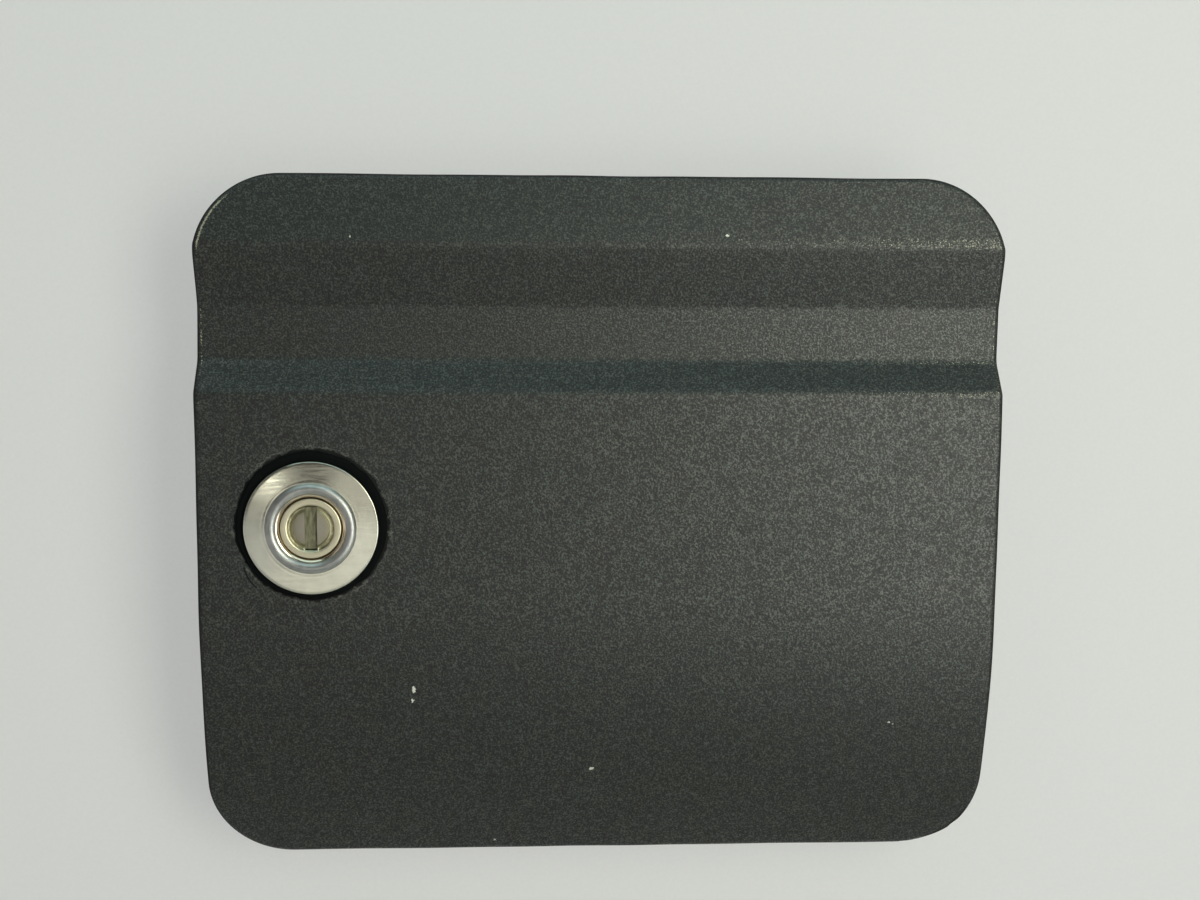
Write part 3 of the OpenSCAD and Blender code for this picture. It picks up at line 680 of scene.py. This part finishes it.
def gasket_rubber():
    """Nearly black rubber with no sheen, and a little grey dust on its edge."""
    material, tree, shader = finish("gasket_rubber", (0.002, 0.003, 0.003), 0, 0.85)
    shader.inputs["Specular IOR Level"].default_value = 0.12
    dust = grain(tree, 0.5 * MM, 3)
    out = away_from(tree, (lock_x, 0, lock_z + gasket_lift))
    past = minus(tree, plus(tree, out, times(tree, dust, 2 * MM)), 16.0 * MM)
    edge = times(tree, past, 1200, clamp=True)
    tree.links.new(cover(tree, edge, (0.002, 0.003, 0.003), (0.03, 0.034, 0.03)), shader.inputs["Base Color"])
    relief(tree, shader, dust, 0.04 * MM, 0.5)
    return material


def turned_piece(name, section, body, turns_round=192, wander=0.0, lift=0.0):
    """A solid of revolution on the lock's axis, or lift above it, from its section, a list of (radius,
    height ahead of the panel's face). Products of sines of the angle make it uneven by wander metres near
    its outer edge."""
    line = np.array(section, float)
    a = np.linspace(0, 2 * np.pi, turns_round, endpoint=False)
    radius = np.repeat(line[:, :1], turns_round, 1)
    uneven = wander * (np.sin(3 * a + 0.6) * np.sin(11 * a) + 0.5 * np.sin(19 * a) * np.sin(2 * a))
    radius = radius + np.where(radius > 0.94 * line[:, 0].max(), uneven, 0)
    y = face_y - np.repeat(line[:, 1:], turns_round, 1)
    points = np.stack([lock_x + radius * np.cos(a), y, lock_z + lift + radius * np.sin(a)], -1)
    i = np.arange(len(line))[:, None] * turns_round
    j = np.arange(turns_round)[None, :]
    k = (j + 1) % turns_round
    n = np.roll(i, -1)
    faces = np.stack([i + j, i + k, n + k, n + j], -1).reshape(-1, 4)
    return mesh_piece(name, points, [faces], body)


def arc(centre, radius, start, end, count=9):
    """Points of a circle arc in the section plane, in degrees."""
    a = np.radians(np.linspace(start, end, count))
    return [(centre[0] + radius * np.cos(t), centre[1] + radius * np.sin(t)) for t in a]


gasket_t = 1.2 * MM
gasket_r = 14.95 * MM
gasket_hole_r = 10.8 * MM
gasket_round = 0.55 * MM
off_paint = 0.02 * MM
gasket = turned_piece(
    "rubber_gasket",
    [(gasket_hole_r, off_paint), (gasket_r - 0.1 * MM, off_paint)]
    + arc((gasket_r - gasket_round, 0.6 * MM), gasket_round, -30, 90)
    + [(gasket_hole_r, gasket_t)],
    "door",
    wander=0.14 * MM,
    lift=gasket_lift,
)
gasket.data.materials.append(gasket_rubber())
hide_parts("lock_gasket")


# Rosette: a stainless sheet ring with a shallow groove and a rolled bead round the key's mouth, crimped over
# the die-cast housing. It is polished, with faint brushing across it.
rim_h = 2.3 * MM
sheet_t = 0.4 * MM
rosette_r = 13.3 * MM
mouth_r = 6.13 * MM
bead_r = 7.45 * MM
bead_h = 0.42 * MM
groove_r = 8.45 * MM
groove_depth = 0.18 * MM
ridge_r = 9.1 * MM
ridge_h = 0.05 * MM
face_foot_r = 9.9 * MM
bead_drop = 0.6 * MM


def rosette_section():
    """The ring's section: a bent rim, a face that rises a little inwards, half cosine waves up to a faint
    ridge, down into a shallow groove and up to the bead, a quarter ellipse down to the key's mouth, then
    back along the hidden side."""
    rim_top = arc((rosette_r - 0.2 * MM, rim_h - 0.38 * MM), 0.2 * MM, 0, 84)
    outer = [(rosette_r, gasket_t + 0.01 * MM)] + rim_top
    face = [(r * MM, rim_h - 0.055 * (r - 9.8) * MM) for r in (12.6, 11.8, 10.9, 10.2)]
    wave = 0.5 + 0.5 * np.cos(np.linspace(0, np.pi, 14))
    edge = [(r, rim_h + ridge_h * w) for r, w in zip(np.linspace(ridge_r, face_foot_r, 14)[::-1], wave[::-1])]
    dip = [
        (r, rim_h - groove_depth + (groove_depth + ridge_h) * w)
        for r, w in zip(np.linspace(ridge_r, groove_r, 14)[1:], wave[1:])
    ]
    rise = [
        (r, rim_h - groove_depth + (groove_depth + bead_h) * (1 - w))
        for r, w in zip(np.linspace(groove_r, bead_r, 14)[1:], wave[1:])
    ]
    roll_w = bead_r - mouth_r
    roll_h = bead_h + bead_drop
    a = np.linspace(np.pi / 2, np.pi, 16)[1:]
    roll = [(bead_r + roll_w * np.cos(t), rim_h - bead_drop + roll_h * np.sin(t)) for t in a]
    hidden = [
        (mouth_r + sheet_t, rim_h - bead_drop),
        (bead_r, rim_h + bead_h - sheet_t),
        (groove_r, rim_h - groove_depth - sheet_t),
        (rosette_r - 0.9 * MM, rim_h - 0.6 * MM),
        (rosette_r - sheet_t, rim_h - 0.8 * MM),
        (rosette_r - sheet_t, gasket_t + 0.01 * MM),
    ]
    return outer + face + edge + dip + rise + roll + hidden


rosette = turned_piece("polished_rosette", rosette_section(), "door", 256)


def polished_steel(name, colour, roughness):
    """Polished stainless: near-mirror, with faint brushing across it, faint stains, and a pinkish tint that
    grows darker in the groove and at the mouth, as painted reflection and painted shade there."""
    material, tree, shader = finish(name, colour, 1, roughness)
    lines = grain(tree, 0.4 * MM, 3, 0.6, (0.1, 1, 1.2))
    stains = grain(tree, 2.4 * MM, 3)
    tint = steps(tree, stains, (0.35, [c * 0.92 for c in colour]), (0.65, colour))
    share = times(tree, away_from(tree, (lock_x, 0, lock_z)), 1 / (16 * MM))
    # Painted reflection and shade: pinker and darker at the key's mouth and in the groove.
    painted_groove_shade = steps(
        tree, share,
        (0.385, (0.66, 0.56, 0.54)), (0.42, (1, 0.87, 0.80)), (0.485, (1, 0.85, 0.77)),
        (0.52, (0.90, 0.72, 0.62)), (0.575, (1, 1, 1)),
    )
    tree.links.new(mixed_colours(tree, "MULTIPLY", 1.0, tint, painted_groove_shade), shader.inputs["Base Color"])
    sheen = steps(tree, lines, (0.3, roughness * 0.8), (0.75, roughness * 1.4))
    tree.links.new(sheen, shader.inputs["Roughness"])
    relief(tree, shader, lines, 0.006 * MM, 0.5)
    return material


rosette.data.materials.append(polished_steel("polished_steel", (0.84, 0.83, 0.71), 0.16))
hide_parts("lock_rosette")


# Plug cap: a stainless cup pressed on the plug's head, with a rounded lip, a ring groove and a raised
# disc with the upright key slot. The slot is stamped, so its ends are square and a burr stands at its
# lower end.
slot_w = 2.45 * MM
slot_h = 8.8 * MM
cap_r = 6 * MM
cap_face = 1.85 * MM
cap_lip = 0.6 * MM
cap_t = 0.35 * MM
cap_skirt = -0.6 * MM
disc_h = 0.18 * MM
pole_r = 0.02 * MM
lip_inside_h = cap_face + cap_lip - 0.55 * MM
cap_out = (
    [(cap_r, cap_skirt)]
    + arc((cap_r - 0.2 * MM, cap_face + cap_lip - 0.2 * MM), 0.2 * MM, 0, 84, 7)
    + arc((4.95 * MM, cap_face + cap_lip - 0.42 * MM), 0.35 * MM, 90, 150, 7)
    + arc((4.35 * MM, cap_face + 0.02 * MM), 0.12 * MM, 0, -90, 4)
    + [(3.9 * MM, cap_face - 0.1 * MM)]
    + arc((3.55 * MM, cap_face), 0.15 * MM, 20, 90, 5)
    + [(2.6 * MM, cap_face + 0.17 * MM), (1.3 * MM, cap_face + disc_h), (pole_r, cap_face + disc_h)]
)
cap_in = [
    (pole_r, cap_face - cap_t),
    (3.4 * MM, cap_face - cap_t),
    (4.5 * MM, cap_face - cap_t - 0.1 * MM),
    (cap_r - 1.0 * MM, lip_inside_h),
    (cap_r - cap_t, lip_inside_h),
    (cap_r - cap_t, cap_skirt),
]
cap = turned_piece("key_cap", cap_out + cap_in, "plug", 160)


def slot_block():
    """A block as wide and high as the slot and deeper than the cap's face, with faces outwards."""
    lo = np.array([lock_x - slot_w / 2, face_y - 4 * MM, lock_z - slot_h / 2])
    hi = np.array([lock_x + slot_w / 2, face_y - 0.6 * MM, lock_z + slot_h / 2])
    corners = np.array([[x, y, z] for x in (0, 1) for y in (0, 1) for z in (0, 1)])
    faces = np.array([[0, 1, 3, 2], [4, 6, 7, 5], [0, 4, 5, 1], [2, 3, 7, 6], [0, 2, 6, 4], [1, 5, 7, 3]])
    return mesh_piece("slot_block", lo + corners * (hi - lo), [faces], None, False)


def punch(piece, tool):
    """Cuts the tool's shape out of the piece, deletes the tool and keeps the cut's edges sharp."""
    cut = piece.modifiers.new("slot", "BOOLEAN")
    cut.operation = "DIFFERENCE"
    cut.solver = "EXACT"
    cut.object = tool
    bpy.context.view_layer.objects.active = piece
    bpy.ops.object.modifier_apply(modifier=cut.name)
    bpy.data.objects.remove(tool)
    piece.data.set_sharp_from_angle(angle=math.radians(40))


punch(cap, slot_block())


def cap_steel():
    """Worn stainless: a yellowish satin lip, a darker olive ring over the groove, and a duller, pinkish face
    inside it.
    """
    material, tree, shader = finish("cap_steel", (0.72, 0.66, 0.5), 1, 0.4)
    out = away_from(tree, (lock_x, 0, lock_z))
    blur = plus(tree, out, times(tree, minus(tree, grain(tree, 0.9 * MM, 3), 0.5), 1.3 * MM))
    share = times(tree, blur, 1 / (8 * MM))
    colour = steps(
        tree, share,
        (0.26, (0.43, 0.385, 0.33)), (0.41, (0.38, 0.345, 0.27)), (0.47, (0.30, 0.28, 0.18)),
        (0.535, (0.38, 0.35, 0.22)), (0.59, (0.86, 0.80, 0.60)),
    )
    tree.links.new(colour, shader.inputs["Base Color"])
    tree.links.new(steps(tree, share, (0.42, 0.5), (0.6, 0.36)), shader.inputs["Roughness"])
    relief(tree, shader, grain(tree, 0.35 * MM, 3), 0.02 * MM, 0.5)
    return material


satin = cap_steel()
cap.data.materials.append(satin)
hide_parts("plug_cap")


burr_half = 1.45 * MM
burr_low = 4.55 * MM
burr_rise = 0.75 * MM
burr_r = 0.11 * MM


def slot_burr(count=40):
    """The bright burr round the slot's lower end: a line that goes across as a sine and up at both ends as
    the fifth power of the distance from its middle, with a slight waver."""
    t = np.linspace(0, 1, count)
    across = burr_half * np.sin((t - 0.5) * np.pi)
    up = -burr_low + burr_rise * np.abs(2 * t - 1) ** 5 + 0.06 * MM * np.sin(9 * t)
    return np.stack([lock_x + across, np.full(count, face_y - cap_face - 0.16 * MM), lock_z + up], 1)


def bright_steel():
    """The burr's freshly torn steel, smoother in some places than in others."""
    material, tree, shader = finish("bright_edge", (0.92, 0.89, 0.74), 1, 0.3)
    tree.links.new(steps(tree, grain(tree, 0.5 * MM), (0.35, 0.2), (0.65, 0.42)), shader.inputs["Roughness"])
    return material


burr_points, burr_sides = round_wire(slot_burr(), burr_r, 8)
burr = mesh_piece("slot_burr", burr_points, tube_faces(len(burr_points) // burr_sides, burr_sides), "plug")
burr.data.materials.append(bright_steel())


# Lock housing, plug and wafers: die-cast zinc and stamped brass, hidden behind the rosette and the panels.
def zinc_casting():
    """Die-cast zinc with a fine grain and slightly darker patches."""
    material, tree, shader = finish("zinc_casting", (0.5, 0.5, 0.5), 1, 0.42)
    patches = grain(tree, 3 * MM, 4)
    cast = steps(tree, patches, (0.3, (0.38, 0.38, 0.38)), (0.7, (0.58, 0.58, 0.57)))
    tree.links.new(cast, shader.inputs["Base Color"])
    relief(tree, shader, grain(tree, 0.3 * MM, 3), 0.02 * MM, 0.6)
    return material


zinc = zinc_casting()
coat("lock_housing", zinc)
coat("lock_plug", zinc)


def wafer_brass():
    """Stamped brass, dulled in places."""
    material, tree, shader = finish("wafer_brass", (0.7, 0.56, 0.3), 1, 0.35)
    patches = grain(tree, 1.5 * MM, 3)
    dulled = steps(tree, patches, (0.3, (0.5, 0.4, 0.22)), (0.7, (0.76, 0.62, 0.33)))
    tree.links.new(dulled, shader.inputs["Base Color"])
    return material


coat("lock_wafers", wafer_brass())


# Dust shutter: a small olive-grey flap behind the key slot, on a pin with its own spring.
def shutter_finish():
    """Dull olive-grey plate with upright streaks of dirt."""
    material, tree, shader = finish("shutter_steel", (0.2, 0.19, 0.12), 0.5, 0.5)
    streaks = grain(tree, 0.7 * MM, 3, 0.6, (1, 1, 0.3))
    dirty = steps(tree, streaks, (0.35, (0.13, 0.12, 0.075)), (0.7, (0.34, 0.32, 0.21)))
    tree.links.new(dirty, shader.inputs["Base Color"])
    return material


coat("dust_shutter", shutter_finish())


# Camera: in front of the face, a little above it and turned slightly, as the photograph was taken.
photo_width = 1200
focal_pixels = 1600
camera_turn = np.radians([6.932, -3.117, -0.015])    # about the photograph's across, down and forward axes
camera_shift = np.array([0.581, 19.226, 322.149]) * MM
aim_height = 68 * MM


def turn_matrix(turn):
    """The rotation about across, then down, then forward."""
    (cx, cy, cz), (sx, sy, sz) = np.cos(turn), np.sin(turn)
    about_x = np.array([[1, 0, 0], [0, cx, -sx], [0, sx, cx]])
    about_y = np.array([[cy, 0, sy], [0, 1, 0], [-sy, 0, cy]])
    about_z = np.array([[cz, -sz, 0], [sz, cz, 0], [0, 0, 1]])
    return about_z @ about_y @ about_x


def photo_camera():
    """A camera whose axes are the rows of the rotation, written in the panel's across, in and up
    directions."""
    turn = turn_matrix(camera_turn)
    to_frame = np.array([[1, 0, 0], [0, 0, 1], [0, -1, 0]])
    across, down, forward = (to_frame @ row for row in turn)
    spot = to_frame @ (-turn.T @ camera_shift) + np.array([middle_x, face_y, base_z + aim_height])
    data = bpy.data.cameras.new("camera")
    data.sensor_width = 36
    data.lens = focal_pixels / photo_width * data.sensor_width
    data.clip_start = 0.01
    data.clip_end = 20
    camera = bpy.data.objects.new("camera", data)
    bpy.context.scene.collection.objects.link(camera)
    matrix = np.eye(4)
    matrix[:3] = np.stack([across, -down, -forward, spot], 1)
    camera.matrix_world = Matrix(matrix.tolist())
    bpy.context.scene.camera = camera


photo_camera()


# Stage: a pale cloth wall that the bracket is screwed to, and a pale floor well below the door.
floor_drop = 500 * MM
stage_half = 4.0


def stage_sheet(name, corners, material):
    """A flat sheet of the stage from its four corners."""
    sheet = mesh_piece(name, np.array(corners, float), [np.array([[0, 1, 2, 3]])], None, False)
    sheet.data.materials.append(material)


def pale_cloth(name, one_sided):
    """Pale cloth with a faint unevenness. The camera and mirrors see it partly lit by itself, which softens
    the shadow on it. The wall can't be seen from behind, and lets through the light that falls on the door's
    rear. Ahead of the door the floor lights itself less, a pool of painted shade that also darkens its
    reflection in the door's lower curve."""
    material, tree, shader = finish(name, (0.82, 0.825, 0.81), 0, 0.9)
    weave = grain(tree, 0.8 * MM, 2)
    cloth = steps(tree, weave, (0.3, (0.80, 0.80, 0.785)), (0.7, (0.84, 0.84, 0.825)))
    tree.links.new(cloth, shader.inputs["Base Color"])
    ray = tree.nodes.new("ShaderNodeLightPath")
    seen = most_of(tree, ray.outputs["Is Camera Ray"], ray.outputs["Is Glossy Ray"])
    seen = most_of(tree, seen, ray.outputs["Is Transmission Ray"])
    glow = tree.nodes.new("ShaderNodeEmission")
    glow.inputs["Color"].default_value = (0.69, 0.695, 0.68, 1)
    soft = tree.nodes.new("ShaderNodeMixShader")
    share = 0.58
    if not one_sided:
        # Painted shade: the floor lights itself less near the door's foot, and more further away.
        ahead = away_from(tree, (0, -0.6, 0), (1, 1, 0))
        share = steps(tree, times(tree, ahead, 0.5), (0.3, 0.05), (0.75, 0.6))
    tree.links.new(times(tree, seen, share), soft.inputs[0])
    tree.links.new(shader.outputs[0], soft.inputs[1])
    tree.links.new(glow.outputs[0], soft.inputs[2])
    surface = soft
    if one_sided:
        side = tree.nodes.new("ShaderNodeNewGeometry")
        clear = tree.nodes.new("ShaderNodeBsdfTransparent")
        surface = tree.nodes.new("ShaderNodeMixShader")
        through = most_of(tree, side.outputs["Backfacing"], ray.outputs["Is Shadow Ray"])
        tree.links.new(through, surface.inputs[0])
        tree.links.new(soft.outputs[0], surface.inputs[1])
        tree.links.new(clear.outputs[0], surface.inputs[2])
    tree.links.new(surface.outputs[0], tree.nodes["Material Output"].inputs["Surface"])
    return material


wall_y = cad_high.y + 0.2 * MM
floor_z = cad_low.z - floor_drop
left, right, near, far, top = -stage_half, stage_half, -stage_half, stage_half, stage_half
stage_sheet(
    "floor",
    [(left, near, floor_z), (right, near, floor_z), (right, far, floor_z), (left, far, floor_z)],
    pale_cloth("floor_cloth", False),
)
stage_sheet(
    "wall",
    [(left, wall_y, floor_z), (right, wall_y, floor_z), (right, wall_y, top), (left, wall_y, top)],
    pale_cloth("wall_cloth", True),
)


# Light: three soft lamps one above the other at the right, a cool one above, and one behind the door for its
# rear. Small dim cards ahead and at the left give the polished ring something to mirror. The sky lights
# dimly, least from below, and the camera sees it as one pale colour.
def soft_box(name, spot, target, size, power, colour):
    """A rectangular lamp at spot that faces target."""
    data = bpy.data.lights.new(name, "AREA")
    data.shape = "RECTANGLE"
    data.size, data.size_y = size
    data.energy = power
    data.color = colour
    lamp = bpy.data.objects.new(name, data)
    bpy.context.scene.collection.objects.link(lamp)
    lamp.location = spot
    back = (lamp.location - Vector(target)).to_track_quat("Z", "Y")
    lamp.rotation_euler = back.to_euler()


door_middle = (middle_x, face_y, base_z + door_h / 2)


def turned_out(right, up, distance):
    """A place at a distance from the door's middle, turned to the right and up by degrees from straight
    ahead."""
    a, b = math.radians(right), math.radians(up)
    ahead = Vector((math.sin(a) * math.cos(b), -math.cos(a) * math.cos(b), math.sin(b)))
    return Vector(door_middle) + distance * ahead


soft_box("right_lamp", turned_out(28, 0, 0.55), door_middle, (0.26, 0.30), 0.62, (0.98, 1.0, 0.86))
soft_box("low_lamp", turned_out(32, -16, 0.55), door_middle, (0.26, 0.30), 0.48, (0.94, 0.99, 0.93))
soft_box("high_lamp", turned_out(30, 18, 0.55), door_middle, (0.26, 0.30), 1.06, (0.96, 1.0, 0.84))
soft_box("top_lamp", turned_out(0, 62, 0.6), door_middle, (0.7, 0.4), 0.98, (0.72, 1.0, 0.98))
soft_box("front_card", turned_out(-5.2, -15.3, 1.0), door_middle, (0.39, 0.375), 0.165, (1.0, 0.98, 0.84))
soft_box("middle_card", turned_out(3.5, -0.7, 1.0), door_middle, (0.36, 0.12), 0.08, (1.0, 0.98, 0.88))
soft_box("streak_card", turned_out(-16.8, -2.4, 1.0), door_middle, (0.06, 0.06), 0.035, (1.0, 0.98, 0.86))
soft_box("left_card", turned_out(-55, 5, 1.0), door_middle, (0.6, 0.9), 0.5, (1.0, 0.98, 0.92))
soft_box("rear_lamp", turned_out(165, 5, 0.6), door_middle, (0.5, 0.5), 1.3, (1.0, 0.99, 0.96))

world = bpy.data.worlds.new("sky")
world.use_nodes = True
bpy.context.scene.world = world
sky = world.node_tree
sky_light = sky.nodes["Background"]
toward = sky.nodes.new("ShaderNodeTexCoord")
height = sky.nodes.new("ShaderNodeSeparateXYZ")
sky.links.new(toward.outputs["Generated"], height.inputs[0])
raised = plus(sky, times(sky, height.outputs["Z"], 0.5), 0.5)
sky_colour = steps(
    sky, raised,
    (0.38, (0.06, 0.06, 0.06)), (0.46, (0.31, 0.30, 0.28)),
    (0.56, (0.38, 0.37, 0.35)), (0.75, (0.38, 0.42, 0.41)),
)
sky.links.new(sky_colour, sky_light.inputs["Color"])
sky_light.inputs["Strength"].default_value = 0.14
seen = sky.nodes.new("ShaderNodeBackground")
seen.inputs["Color"].default_value = (0.66, 0.665, 0.64, 1)
path = sky.nodes.new("ShaderNodeLightPath")
choose = sky.nodes.new("ShaderNodeMixShader")
sky.links.new(path.outputs["Is Camera Ray"], choose.inputs[0])
sky.links.new(sky_light.outputs[0], choose.inputs[1])
sky.links.new(seen.outputs[0], choose.inputs[2])
sky.links.new(choose.outputs[0], sky.nodes["World Output"].inputs["Surface"])

bpy.context.scene.view_settings.view_transform = "Standard"
